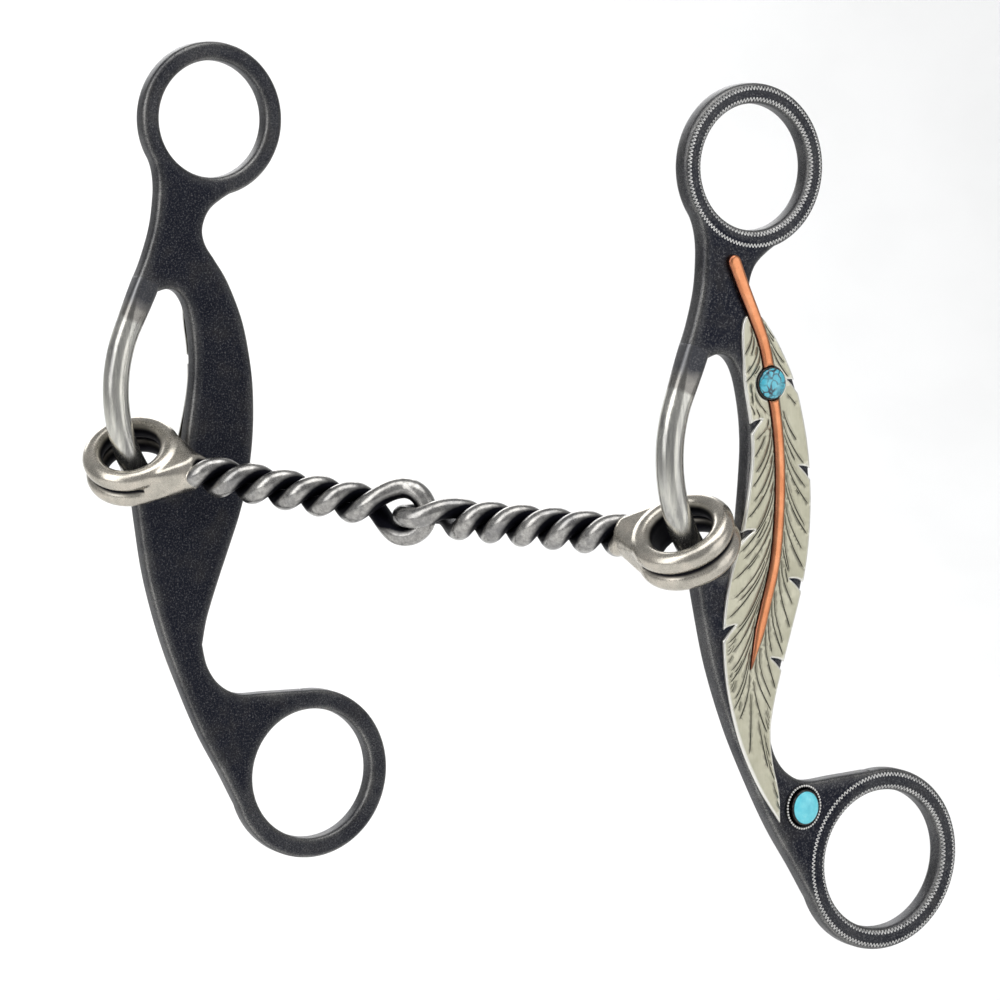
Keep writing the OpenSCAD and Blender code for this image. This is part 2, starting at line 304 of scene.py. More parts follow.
class Sheet:
    """A triangulated outline with rings of points beside its edge and grooves across it."""

    def __init__(self, loops, rings, fill, grooves=()):
        edge = segments_of(loops)
        extra = []
        for p, _ in loops:
            t = np.roll(p, -1, axis=0) - np.roll(p, 1, axis=0)
            t /= np.maximum(np.linalg.norm(t, axis=1), 1e-9)[:, None]
            inward = np.column_stack([-t[:, 1], t[:, 0]])
            for r in rings:
                moved = p + r * inward
                good = distance(edge, moved) > 0.94 * r
                extra.append(moved[good])
        base = np.concatenate([p for p, _ in loops])
        grid = hex_grid(base.min(0), base.max(0), fill)
        grid = grid[within(loops, grid)]
        extra.append(grid[distance(edge, grid) > rings[-1] + 0.35 * fill])
        extra = np.concatenate(extra)
        extra = extra[within(loops, extra)]
        cuts = list(grooves)
        if cuts:
            near = distance(self.groove_segments(cuts), extra)
            extra = extra[near > 0.22]
        points, faces, at = [], [], 0
        for p, want in loops:
            points.append(p[::want])
            faces.append(list(range(at, at + len(p))))
            at += len(p)
        edges = []
        for left, middle, right in cuts:
            rim = np.concatenate([right, left[::-1][1:-1]])
            points.append(rim)
            faces.append(list(range(at, at + len(rim))))
            at += len(rim)
            inner = middle[1:-1]
            points.append(inner)
            edges += [(at + k, at + k + 1) for k in range(len(inner) - 1)]
            at += len(inner)
        points.append(extra)
        flat = np.concatenate(points)
        made = delaunay_2d_cdt([Vector(v) for v in flat.tolist()], edges, faces, 1, 1e-5)
        self.points = np.array([tuple(v) for v in made[0]])
        outer = {i for i, (_, want) in enumerate(loops) if want > 0}
        holes = {i for i, (_, want) in enumerate(loops) if want < 0}
        self.faces, self.cut = [], []
        for face, origins in zip(made[2], made[5]):
            origins = set(origins)
            if origins & outer and not origins & holes:
                self.faces.append(tuple(face))
                self.cut.append(bool(origins - outer))
        self.depth = distance(edge, self.points)
        self.depth[self.depth < 1e-4] = 0
        self.cuts = cuts
        pairs = dict.fromkeys(pair for f in self.faces for pair in zip(f, f[1:] + f[:1]))
        self.rim = [(a, b) for a, b in pairs if (b, a) not in pairs]

    @staticmethod
    def groove_segments(cuts):
        a = np.concatenate([m[:-1] for _, m, _ in cuts])
        b = np.concatenate([m[1:] for _, m, _ in cuts])
        return a, b


def edge_share(sheet):
    """0 on the sheet's edge and 1 from edge_reach inwards, for worn edges."""
    return np.minimum(sheet.depth, edge_reach) / edge_reach


def relief(sheet, top, base):
    """Raised sheet: heights y_out = top over it, and walls down to base, inside the cheek.

    The flat underside is filled only for outlines that chain() returns anticlockwise, so the
    feather and the longer part of the quill are open there.
    """
    n = len(sheet.points)
    verts = [(x, -h, z) for (x, z), h in zip(sheet.points, top)]
    faces = [tuple(f) for f in sheet.faces]
    rim_points = sorted({v for e in sheet.rim for v in e})
    low = {v: n + k for k, v in enumerate(rim_points)}
    verts += [(sheet.points[v][0], -base, sheet.points[v][1]) for v in rim_points]
    faces += [(b, a, low[a], low[b]) for a, b in sheet.rim]
    outline = [Vector(sheet.points[v].tolist()) for v in rim_points]
    number = {v: k for k, v in enumerate(rim_points)}
    loops = chain([(number[a], number[b]) for a, b in sheet.rim])
    made = delaunay_2d_cdt(outline, [], loops, 1, 1e-6)
    holes_inside = []
    for k, loop in enumerate(loops):
        p = np.array([tuple(outline[i]) for i in loop])
        others = [np.array([tuple(outline[i]) for i in q]) for j, q in enumerate(loops) if j != k]
        holes_inside.append(sum(contains(q, p[:1])[0] for q in others) % 2 == 1)
    for face, origins in zip(made[2], made[5]):
        if any(holes_inside[o] for o in origins) or not origins:
            continue
        source = [made[3][v] for v in face]
        if all(source):
            faces.append(tuple(low[rim_points[s[0]]] for s in reversed(source)))
    return verts, faces, n


def slab(sheet, half, rounding):
    """Closed plate with both edges rounded, the same on both faces."""
    n = len(sheet.points)
    d = np.minimum(sheet.depth, rounding)
    h = half - rounding + np.sqrt(np.maximum(rounding**2 - (rounding - d) ** 2, 0))
    verts = [(x, -y, z) for (x, z), y in zip(sheet.points, h)]
    verts += [(x, y, z) for (x, z), y in zip(sheet.points, h)]
    faces = [tuple(f) for f in sheet.faces]
    faces += [tuple(n + v for v in reversed(f)) for f in sheet.faces]
    faces += [(b, a, n + a, n + b) for a, b in sheet.rim]
    return verts, faces


def sweep(path, section_at, closed=False):
    """Skin over cross-sections along a path. section_at(i) gives (side, up) pairs, in millimetres."""
    n = len(path)
    path = [Vector(p) for p in path]

    def along(i):
        a = path[(i - 1) % n] if closed else path[max(i - 1, 0)]
        b = path[(i + 1) % n] if closed else path[min(i + 1, n - 1)]
        return (b - a).normalized()

    t = along(0)
    guide = UP if abs(t.dot(UP)) < 0.95 else Vector((0, 1, 0))
    side = guide.cross(t).normalized()
    verts, faces = [], []
    for i in range(n):
        t = along(i)
        side = (side - t * side.dot(t)).normalized()
        up = t.cross(side)
        ring = section_at(i)
        verts += [tuple(path[i] + side * a + up * b) for a, b in ring]
    m = len(ring)
    for i in range(n if closed else n - 1):
        a, b = i * m, ((i + 1) % n) * m
        for k in range(m):
            j = (k + 1) % m
            faces.append((a + k, a + j, b + j, b + k))
    if not closed:
        faces.append(tuple(reversed(range(m))))
        faces.append(tuple((n - 1) * m + k for k in range(m)))
    return verts, faces


def circle(r, sides, start=0.0):
    turn = 2 * math.pi / sides
    return [(r * math.cos(start + k * turn), r * math.sin(start + k * turn)) for k in range(sides)]


def add_object(name, data):
    obj = bpy.data.objects.new(name, data)
    bpy.context.scene.collection.objects.link(obj)
    return obj


def piece(name, verts, faces, placed, body, slot, stands_for=(), smooth=True, values=None):
    """Makes a mesh piece from millimetres and puts it on its body."""
    mesh = bpy.data.meshes.new(name)
    flip = placed.to_3x3().determinant() < 0
    mesh.from_pydata(
        [tuple(placed @ Vector(v) * MM) for v in verts],
        [],
        [tuple(reversed(f)) for f in faces] if flip else faces,
    )
    mesh.polygons.foreach_set("use_smooth", [smooth] * len(mesh.polygons))
    for key, numbers in (values or {}).items():
        layer = mesh.attributes.new(key, "FLOAT", "POINT")
        layer.data.foreach_set("value", np.asarray(numbers, np.float32))
    mesh.update()
    obj = add_object(name, mesh)
    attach(obj, body)
    if stands_for:
        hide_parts(*stands_for)
    return obj


def on_cheek(side, name, verts, faces, slot, node="", **more):
    """A piece in a cheek's own frame, which may stand for one of its nodes."""
    stands_for = [side + node] if node else ()
    return piece(side + name, verts, faces, cheek_frames[side], side + "_cheek", slot, stands_for, **more)


# ---------------------------------------------------------------- material tools


class Shade:
    """A material whose nodes are made by short calls."""

    def __init__(self, name):
        self.material = bpy.data.materials.new(name)
        self.material.use_nodes = True
        self.tree = self.material.node_tree
        self.bsdf = self.tree.nodes["Principled BSDF"]
        self.place = self.add("ShaderNodeTexCoord").outputs["Object"]

    def add(self, kind, **settings):
        node = self.tree.nodes.new(kind)
        for key, value in settings.items():
            setattr(node, key, value)
        return node

    def plug(self, source, socket):
        if hasattr(source, "links"):
            self.tree.links.new(source, socket)
        else:
            socket.default_value = source

    def stretched(self, share):
        """Coordinates that run slower along Z, which draws a texture out into streaks."""
        node = self.add("ShaderNodeMapping")
        self.plug(self.place, node.inputs["Vector"])
        node.inputs["Scale"].default_value = (1, 1, share)
        return node.outputs["Vector"]

    def noise(self, size, detail=3.0, rough=0.55, place=None):
        """Noise whose blobs are about size millimetres across."""
        node = self.add("ShaderNodeTexNoise")
        self.plug(place or self.place, node.inputs["Vector"])
        node.inputs["Scale"].default_value = 1 / (size * MM)
        node.inputs["Detail"].default_value = detail
        node.inputs["Roughness"].default_value = rough
        return node.outputs["Fac"]

    def attribute(self, name):
        return self.add("ShaderNodeAttribute", attribute_name=name).outputs["Fac"]

    def ramp(self, source, *stops):
        """Colours or grey levels at places from 0 to 1."""
        node = self.add("ShaderNodeValToRGB")
        self.plug(source, node.inputs["Fac"])
        ramp = node.color_ramp
        while len(ramp.elements) < len(stops):
            ramp.elements.new(0.5)
        for element, (at, value) in zip(ramp.elements, stops):
            element.position = at
            grey = isinstance(value, (int, float))
            element.color = (value, value, value, 1) if grey else (*value, 1)
        return node.outputs["Color"]

    def math(self, kind, a, b):
        node = self.add("ShaderNodeMath", operation=kind)
        self.plug(a, node.inputs[0])
        self.plug(b, node.inputs[1])
        return node.outputs[0]

    def mix(self, factor, a, b):
        node = self.add("ShaderNodeMix", data_type="RGBA")
        self.plug(factor, node.inputs["Factor"])
        self.plug((*a, 1) if isinstance(a, tuple) else a, node.inputs["A"])
        self.plug((*b, 1) if isinstance(b, tuple) else b, node.inputs["B"])
        return next(o for o in node.outputs if o.type == "RGBA" and o.enabled)

    def bump(self, height, strength, reach):
        """Bump whose full height is reach millimetres."""
        node = self.add("ShaderNodeBump")
        self.plug(height, node.inputs["Height"])
        node.inputs["Strength"].default_value = strength
        node.inputs["Distance"].default_value = reach * MM
        self.plug(node.outputs["Normal"], self.bsdf.inputs["Normal"])

    def finish(self, colour, rough, metal=1.0, coat=0.0):
        self.plug((*colour, 1) if isinstance(colour, tuple) else colour, self.bsdf.inputs["Base Color"])
        self.plug(rough, self.bsdf.inputs["Roughness"])
        self.bsdf.inputs["Metallic"].default_value = metal
        if coat:
            self.bsdf.inputs["Coat Weight"].default_value = coat
            self.bsdf.inputs["Coat Roughness"].default_value = 0.08
        return self.material


def antiqued(s):
    """Colour and roughness of blackened steel with a fine worn speckle."""
    blotch = s.noise(6, 5, 0.62)
    speck = s.noise(0.42, 5, 0.8)
    dark = s.ramp(
        blotch,
        (0.3, (0.003, 0.0042, 0.0105)), (0.5, (0.0065, 0.0078, 0.0145)), (0.74, (0.02, 0.0195, 0.022)),
    )
    flecked = s.mix(s.ramp(speck, (0.52, 0.0), (0.70, 0.9)), dark, (0.15, 0.15, 0.155))
    return flecked, s.ramp(speck, (0.3, 0.34), (0.75, 0.5)), speck


def cheek_steel():
    s = Shade("cheek_steel")
    dark, rough, speck = antiqued(s)
    grain = s.noise(0.2, 3, 0.7)
    edge = s.ramp(
        s.attribute("edge"), (0.0, 0.34), (0.04, 0.5), (0.085, 1.0), (0.14, 0.44), (0.24, 0.18), (0.5, 0.0),
    )
    worn = s.math("MULTIPLY", edge, s.ramp(grain, (0.38, 0.12), (0.62, 1.0)))
    worn = s.math("MULTIPLY", worn, s.ramp(s.noise(9, 3, 0.5), (0.34, 0.45), (0.6, 1.0)))
    colour = s.mix(worn, dark, (0.32, 0.315, 0.30))
    s.bump(s.math("ADD", grain, s.math("MULTIPLY", speck, 1.4)), 0.35, 0.03)
    return s.finish(colour, rough, 0.85)


def polished_bar():
    s = Shade("bow_bar_steel")
    dark, dark_rough, _ = antiqued(s)
    streak = s.noise(1.5, 4, 0.6, s.stretched(0.07))
    fine = s.noise(0.25, 2, 0.5, s.stretched(0.05))
    blotch = s.noise(3, 4, 0.6)
    bright = s.ramp(
        streak, (0.28, (0.21, 0.205, 0.20)), (0.46, (0.40, 0.395, 0.37)), (0.62, (0.56, 0.55, 0.50)),
        (0.76, (0.70, 0.69, 0.65)),
    )
    polish = s.math("ADD", s.attribute("polish"), s.math("MULTIPLY", s.math("SUBTRACT", blotch, 0.5), 0.22))
    burnt = s.mix(s.ramp(polish, (0.62, 0.0), (0.7, 1.0)), (0.22, 0.21, 0.195), bright)
    worn = s.ramp(
        s.attribute("edge"), (0.0, 0.24), (0.04, 0.36), (0.085, 0.75), (0.14, 0.3), (0.24, 0.12), (0.5, 0.0),
    )
    dark = s.mix(worn, dark, (0.33, 0.33, 0.335))
    share = s.ramp(polish, (0.26, 0.0), (0.5, 1.0))
    colour = s.mix(share, dark, burnt)
    rough = s.mix(share, dark_rough, s.ramp(fine, (0.2, 0.17), (0.8, 0.3)))
    s.bump(fine, 0.2, 0.02)
    return s.finish(colour, rough, 0.95)


def ring_steel():
    s = Shade("end_ring_steel")
    blotch = s.noise(4, 4, 0.6)
    fine = s.noise(0.3, 3, 0.6)
    warm = s.ramp(blotch, (0.3, (0.34, 0.32, 0.28)), (0.5, (0.46, 0.43, 0.375)), (0.7, (0.56, 0.51, 0.44)))
    # Painted shade: the fitting's shade mask mixes in near black in the seam between the rings, in their bore and
    # in the twist's valleys.
    colour = s.mix(s.attribute("painted_shade"), warm, (0.008, 0.008, 0.011))
    rough = s.mix(s.attribute("painted_shade"), s.ramp(fine, (0.3, 0.2), (0.8, 0.36)), (0.6, 0.6, 0.6))
    s.bump(fine, 0.15, 0.02)
    return s.finish(colour, rough)


def wire_steel():
    s = Shade("mouth_steel")
    streak = s.noise(1.1, 4, 0.6)
    fine = s.noise(0.22, 3, 0.65)
    blotch = s.noise(4, 3, 0.5)
    steel = s.ramp(
        streak, (0.25, (0.19, 0.185, 0.18)), (0.5, (0.34, 0.33, 0.315)), (0.78, (0.50, 0.49, 0.465)),
    )
    steel = s.mix(s.ramp(blotch, (0.45, 0.0), (0.7, 0.6)), steel, (0.15, 0.15, 0.155))
    # Painted shade: the wire's shade mask, roughened by fine noise, mixes in near black on the strands' flanks
    # towards the rope's axis and inside the eye.
    painted_shade = s.math("ADD", s.attribute("painted_shade"), s.math("MULTIPLY", s.math("SUBTRACT", fine, 0.5), 0.3))
    share = s.ramp(painted_shade, (0.12, 0.0), (0.45, 0.55), (0.8, 1.0))
    colour = s.mix(share, steel, (0.006, 0.006, 0.009))
    rough = s.mix(share, s.ramp(fine, (0.3, 0.2), (0.8, 0.36)), (0.55, 0.55, 0.55))
    s.bump(fine, 0.25, 0.02)
    return s.finish(colour, rough)


def feather_silver():
    s = Shade("feather_silver")
    blotch = s.noise(6, 4, 0.6)
    brush = s.noise(0.35, 3, 0.6, s.stretched(0.12))
    fine = s.noise(0.12, 2, 0.6)
    body = s.ramp(
        blotch, (0.3, (0.39, 0.375, 0.285)), (0.55, (0.445, 0.43, 0.335)), (0.75, (0.52, 0.50, 0.40)),
    )
    body = s.mix(s.ramp(brush, (0.35, 0.0), (0.75, 0.3)), body, (0.36, 0.36, 0.28))
    edge = s.ramp(s.attribute("edge"), (0.0, 0.9), (0.05, 0.6), (0.1, 0.0))
    colour = s.mix(edge, body, (0.85, 0.84, 0.80))
    colour = s.mix(s.attribute("seam"), colour, (0.05, 0.045, 0.035))
    rough = s.ramp(brush, (0.3, 0.3), (0.75, 0.45))
    s.bump(s.math("ADD", fine, brush), 0.2, 0.02)
    return s.finish(colour, rough, 0.9)


def engraving():
    s = Shade("engraving_black")
    colour = s.ramp(s.noise(0.4, 3, 0.6), (0.3, (0.02, 0.02, 0.015)), (0.75, (0.10, 0.095, 0.07)))
    return s.finish(colour, 0.7, 0.3)


def copper():
    s = Shade("quill_copper")
    blotch = s.noise(4, 4, 0.6)
    brush = s.noise(0.4, 3, 0.6, s.stretched(0.1))
    body = s.ramp(blotch, (0.3, (0.54, 0.20, 0.09)), (0.55, (0.64, 0.26, 0.125)), (0.75, (0.74, 0.34, 0.18)))
    tarnish = s.ramp(s.attribute("edge"), (0.0, 0.9), (0.05, 0.35), (0.1, 0.0))
    colour = s.mix(tarnish, body, (0.20, 0.07, 0.05))
    rough = s.ramp(brush, (0.3, 0.24), (0.75, 0.4))
    s.bump(brush, 0.15, 0.02)
    return s.finish(colour, rough)


def turquoise_round():
    s = Shade("turquoise_round")
    base = s.ramp(
        s.noise(2.2, 4, 0.6),
        (0.3, (0.04, 0.36, 0.48)), (0.55, (0.09, 0.48, 0.60)), (0.75, (0.20, 0.60, 0.69)),
    )
    warp = s.add("ShaderNodeVectorMath", operation="ADD")
    s.plug(s.place, warp.inputs[0])
    wobble = s.add("ShaderNodeTexNoise")
    s.plug(s.place, wobble.inputs["Vector"])
    wobble.inputs["Scale"].default_value = 900
    scaled = s.add("ShaderNodeVectorMath", operation="SCALE")
    s.plug(wobble.outputs["Color"], scaled.inputs[0])
    scaled.inputs["Scale"].default_value = 0.9 * MM
    s.plug(scaled.outputs[0], warp.inputs[1])
    crack = s.add("ShaderNodeTexVoronoi", feature="DISTANCE_TO_EDGE")
    s.plug(warp.outputs[0], crack.inputs["Vector"])
    crack.inputs["Scale"].default_value = 1 / (1.9 * MM)
    vein = s.ramp(crack.outputs["Distance"], (0.03, 1.0), (0.11, 0.0))
    patchy = s.math("MULTIPLY", vein, s.ramp(s.noise(2.6, 2, 0.5), (0.34, 0.25), (0.55, 1.0)))
    colour = s.mix(patchy, base, (0.015, 0.03, 0.05))
    s.bump(patchy, -0.2, 0.05)
    return s.finish(colour, 0.22, 0.0, coat=0.5)


def turquoise_oval():
    s = Shade("turquoise_oval")
    base = s.ramp(
        s.noise(2.4, 4, 0.6),
        (0.3, (0.07, 0.50, 0.62)), (0.55, (0.13, 0.62, 0.72)), (0.8, (0.26, 0.72, 0.78)),
    )
    speck = s.ramp(s.noise(0.5, 4, 0.7), (0.62, 0.0), (0.78, 0.6))
    colour = s.mix(speck, base, (0.05, 0.24, 0.33))
    return s.finish(colour, 0.2, 0.0, coat=0.5)


def dark_bezel():
    s = Shade("bezel_metal")
    edge = s.ramp(s.noise(0.5, 3, 0.6), (0.35, (0.018, 0.017, 0.018)), (0.7, (0.09, 0.085, 0.08)))
    return s.finish(edge, 0.4)


def bead_silver():
    s = Shade("bead_silver")
    tone = s.ramp(
        s.attribute("edge"),
        (0.0, (0.015, 0.015, 0.016)), (0.35, (0.20, 0.195, 0.19)), (0.8, (0.72, 0.71, 0.68)),
    )
    return s.finish(tone, 0.3)


def bright_cut():
    s = Shade("bright_cut")
    tone = s.ramp(s.noise(0.8, 3, 0.6), (0.32, (0.26, 0.26, 0.26)), (0.56, (0.62, 0.615, 0.60)))
    return s.finish(tone, 0.32)


MATERIALS = {
    make.__name__: make()
    for make in (
        cheek_steel, polished_bar, ring_steel, wire_steel, feather_silver, engraving, copper,
        turquoise_round, turquoise_oval, dark_bezel, bead_silver, bright_cut,
    )
}


def dress(obj, *names):
    for name in names:
        obj.data.materials.append(MATERIALS[name])
    return obj


# ---------------------------------------------------------------- outlines cut from the frame

face_mid = -(face_y + (feather_top - face_y) / 2)
cheek_loops = oriented([smooth_outline(p, 0.55) for p in section("right_cheek", 0)])
feather_loops = oriented([smooth_outline(p, 0.42, 24) for p in section("right_feather", face_mid)])
quill_loops = oriented([smooth_outline(p, 0.4, 40) for p in section("right_quill", face_mid)])


def span(loops, z):
    """Least and greatest x of the outlines at a height, or None."""
    found = []
    for p, _ in loops:
        q = np.roll(p, -1, axis=0)
        hit = (p[:, 1] > z) != (q[:, 1] > z)
        t = (z - p[hit, 1]) / (q[hit, 1] - p[hit, 1])
        found.append(p[hit, 0] + t * (q[hit, 0] - p[hit, 0]))
    found = np.concatenate(found)
    return (found.min(), found.max()) if len(found) else None


quill_low = min(p[:, 1].min() for p, _ in quill_loops)
feather_low = min(p[:, 1].min() for p, _ in feather_loops)


def quill_side(z, side):
    """Edge of the quill at a height, and below its tip the line that carries on to the feather's tip."""
    edges = span(quill_loops, z)
    if edges is not None and edges[1] - edges[0] < 4:
        middle, half = (edges[0] + edges[1]) / 2, (edges[1] - edges[0]) / 2
    else:
        half = 0.1
        vane = span(feather_loops, z)
        start = quill_low + 0.5
        tip = sum(span(quill_loops, start)) / 2
        t = min(1, max(0, (start - z) / (start - feather_low)))
        middle = tip * (1 - t) + (0.35 * vane[0] + 0.65 * vane[1]) * t
    return middle + side * half


def vane_edge(z, side):
    edges = span(feather_loops, z)
    return edges[0] if side < 0 else edges[1]


# ---------------------------------------------------------------- cheeks


def build_cheek(side):
    sheet = Sheet(cheek_loops, [0.06, 0.2, 0.45, 0.85, edge_round], 2.2)
    verts, faces = slab(sheet, face_y, edge_round)
    edge = np.tile(edge_share(sheet), 2)
    obj = on_cheek(side, "_cheek_plate", verts, faces, "cheek_steel", "_cheek", values={"edge": edge})
    return dress(obj, "cheek_steel")


def zigzag(side, name, centre, r, pitch, swing=0.42):
    """Wriggle-cut line round a ring, a hair proud of the face and following its rounded edges."""
    teeth = round(2 * math.pi * r / pitch)
    n = 4 * teeth
    angle = 2 * math.pi * np.arange(n) / n
    out = r + swing * np.tile([0, 1, 0, -1], teeth)
    flat = np.stack([centre.x + out * np.cos(angle), centre.z + out * np.sin(angle)], axis=1)
    depth = np.minimum(distance(segments_of(cheek_loops), flat), edge_round)
    drop = edge_round - np.sqrt(edge_round**2 - (edge_round - depth) ** 2)
    shape = [(0.13, 0), (0.06, 0.035), (-0.06, 0.035), (-0.13, 0), (0, -0.07)]
    verts, faces = [], []
    m = len(shape)
    for k, a in enumerate(angle):
        here = Vector((flat[k][0], drop[k] - face_y, flat[k][1]))
        tangent = Vector((-math.sin(a), 0, math.cos(a)))
        verts += [tuple(here + tangent * u - Vector((0, 1, 0)) * v) for u, v in shape]
        low, high = k * m, ((k + 1) % n) * m
        faces += [(low + i, low + (i + 1) % m, high + (i + 1) % m, high + i) for i in range(m)]
    obj = on_cheek(side, name, verts, faces, "bead_silver", smooth=False)
    return dress(obj, "bright_cut")


def build_bow_bar(side):
    """Round bar whose ends take the plate's section and lap over its cut edges."""
    lap = 1.7
    top_blend, low_blend = 12, 9
    lead_steps, arc_steps, low_lap_steps = 24, 72, 8
    path, length = [], [0.0]
    tilt = math.radians(bow_top_angle)
    top = bow_centre + bow_r * Vector((-math.cos(tilt), 0, math.sin(tilt)))
    up = Vector((math.sin(tilt), 0, math.cos(tilt)))
    for k in range(lead_steps):
        path.append(top + up * (bow_lead + lap) * (1 - k / lead_steps))
    for k in range(arc_steps + low_lap_steps):
        a = math.radians(bow_top_angle - (bow_top_angle + bow_low_angle) * k / arc_steps)
        path.append(bow_centre + bow_r * Vector((-math.cos(a), 0, math.sin(a))))
    for a, b in zip(path, path[1:]):
        length.append(length[-1] + (b - a).length)
    total = length[-1]
    sides = 40

    def section_at(i):
        top_share = 1 - smoothstep((length[i] - lap) / top_blend)
        low_share = 1 - smoothstep((total - lap - length[i]) / low_blend)
        box = float(max(top_share, low_share))
        wide = bow_d / 2 + 0.012
        deep = wide * (1 - box) + (face_y + 0.012) * box
        corner = wide * (1 - box) + edge_round * box
        if i in (0, len(path) - 1):
            wide, deep = wide - 0.15, deep - 0.15
        ring = []
        for k in range(sides):
            a = 2 * math.pi * (k + 0.5) / sides
            c, s = math.cos(a), math.sin(a)
            ring.append((
                math.copysign(deep - corner, c) + corner * c, math.copysign(wide - corner, s) + corner * s,
            ))
        return ring

    verts, faces = sweep(path, section_at)
    across = np.tile([abs(b) for _, b in section_at(1)], len(path))
    polish = [min(1.0, max(0.0, min((s - 1.5) / 13, (total - s - 3) / 6))) for s in length]
    polish = np.repeat(polish, sides)
    values = {"polish": polish, "edge": (bow_d / 2 - across) / edge_reach}
    obj = on_cheek(side, "_bow_bar_steel", verts, faces, "bow_bar_steel", "_bow_bar", values=values)
    return dress(obj, "polished_bar")


# ---------------------------------------------------------------- feather and quill


def lens(points, width):
    """Groove along a curve: its left edge, middle and right edge, pointed at both ends."""
    points = np.array(points)
    t = np.gradient(points, axis=0)
    t /= np.linalg.norm(t, axis=1)[:, None]
    across = np.column_stack([-t[:, 1], t[:, 0]])
    u = np.linspace(0, 1, len(points))
    swell = (0.25 + 0.75 * u / 0.7).clip(0, 1)
    half = width / 2 * np.minimum(swell, np.minimum(u / 0.1, (1 - u) / 0.14)).clip(0, 1)
    half[0] = half[-1] = 0
    return points + across * half[:, None], points, points - across * half[:, None]


def barb(z, side, drop, start, reach, width, steps=12):
    """Groove that leaves beside the quill, runs down and swings out to the vane's edge."""
    z1 = max(z - drop, feather_low + 1.5)
    inner0, outer0 = quill_side(z, side), vane_edge(z, side)
    inner1, outer1 = quill_side(z1, side), vane_edge(z1, side)
    a = np.array([inner0 + (outer0 - inner0) * start + side * 0.3, z])
    d = np.array([inner1 + (outer1 - inner1) * reach, z1])
    slope = (quill_side(z - 1, side) - quill_side(z + 1, side)) / 2
    b = a + np.array([slope, -1]) * 0.36 * (z - z1)
    c = d + np.array([-side * 0.42 * abs(d[0] - a[0]), 0.2 * (z - z1)])
    t = np.linspace(0, 1, steps)[:, None]
    return lens((1 - t) ** 3 * a + 3 * (1 - t) ** 2 * t * b + 3 * (1 - t) * t**2 * c + t**3 * d, width)


# Long grooves below the quill: height, side, drop, start and reach across the vane, width.
tip_barbs = [
    (-104.5, -1, 10, 0.0, 0.75, 0.3),
    (-106, 1, 12, 0.0, 0.8, 0.3),
    (-105, -1, 17, 0.0, 0.62, 0.3),
    (-106.5, 1, 19, 0.05, 0.55, 0.3),
    (-112, 1, 11, 0.35, 0.8, 0.22),
    (-117, 1, 8, 0.5, 0.85, 0.2),
    (-121, 1, 7, 0.55, 0.85, 0.2),
    (-125, 1, 7, 0.6, 0.86, 0.18),
    (-128, 1, 6, 0.62, 0.84, 0.18),
]
# Patches of fine short grooves: first height, count, side, drop, start and reach across the vane.
hatching = [
    (-97, 5, -1, 2.4, 0.62, 0.9),
    (-103, 5, -1, 2.6, 0.6, 0.88),
    (-108, 4, -1, 3.2, 0.45, 0.7),
    (-112, 4, 1, 3, 0.6, 0.9),
    (-120, 5, 1, 3.4, 0.62, 0.88),
    (-128, 5, 1, 3, 0.55, 0.84),
]
hatch_pitch = 0.75
hatch_width = 0.12
hatch_steps = 6


def barbs():
    """The feather's engraving, cut back to what lies inside the vane."""
    draw = random.Random(7)
    cuts = []
    for side, first, pitch in ((-1, -33, 1.9), (1, -30.3, 2.0)):
        z = first
        k = 0
        while z > quill_low + 1.5:
            edge = abs(vane_edge(z - 6, side) - quill_side(z - 6, side))
            drop = min(4.4 + 1.15 * edge + draw.uniform(-0.8, 0.8), 3.5 + 0.5 * (first + 4 - z))
            if k % 3 == 1:
                cuts.append(barb(z, side, 0.62 * drop, 0.10, 0.62 + draw.uniform(-0.06, 0.06), 0.26))
            elif k % 3 == 2:
                cuts.append(barb(z, side, 0.9 * drop, 0.02, 0.82 + draw.uniform(-0.04, 0.04), 0.22))
            else:
                cuts.append(barb(z, side, drop, 0.0, 0.93, 0.27))
            z -= pitch * draw.uniform(0.85, 1.15)
            k += 1
    cuts += [barb(*row) for row in tip_barbs]
    for first, count, *rest in hatching:
        cuts += [barb(first - hatch_pitch * k, *rest, hatch_width, hatch_steps) for k in range(count)]
    kept = []
    edge = segments_of(feather_loops)
    for cut in cuts:
        every = np.concatenate(cut)
        if within(feather_loops, every).all() and distance(edge, every).min() > 0.12:
            kept.append(cut)
            continue
        good = within(feather_loops, cut[1]) & (distance(edge, cut[1]) > 0.3)
        run = longest_run(good)
        if run[1] - run[0] >= 5:
            shorter = trimmed(cut, run)
            if within(feather_loops, np.concatenate(shorter)).all():
                kept.append(shorter)
    return kept


def trimmed(cut, run):
    """The same groove, at its full width, between two of its points."""
    width = 2 * np.linalg.norm(cut[0] - cut[1], axis=1).max()
    return lens(cut[1][run[0] : run[1]], width)


def longest_run(good):
    """Start and end of the longest stretch of true values."""
    best, start = (0, 0), None
    for k, g in enumerate([*good, False]):
        if g and start is None:
            start = k
        if not g and start is not None:
            if k - start > best[1] - best[0]:
                best = (start, k)
            start = None
    return best


def apart(cuts):
    """Leaves out grooves that would run into one already kept."""
    kept = []
    for cut in cuts:
        if kept:
            near = distance(Sheet.groove_segments(kept), cut[1])
            if near.min() < 0.16:
                run = longest_run(near > 0.26)
                if run[1] - run[0] < 4:
                    continue
                cut = trimmed(cut, run)
        kept.append(cut)
    return kept


feather_cuts = apart(barbs())
feather_sheet = Sheet(feather_loops, [0.07, 0.2, 0.4], 0.9, feather_cuts)


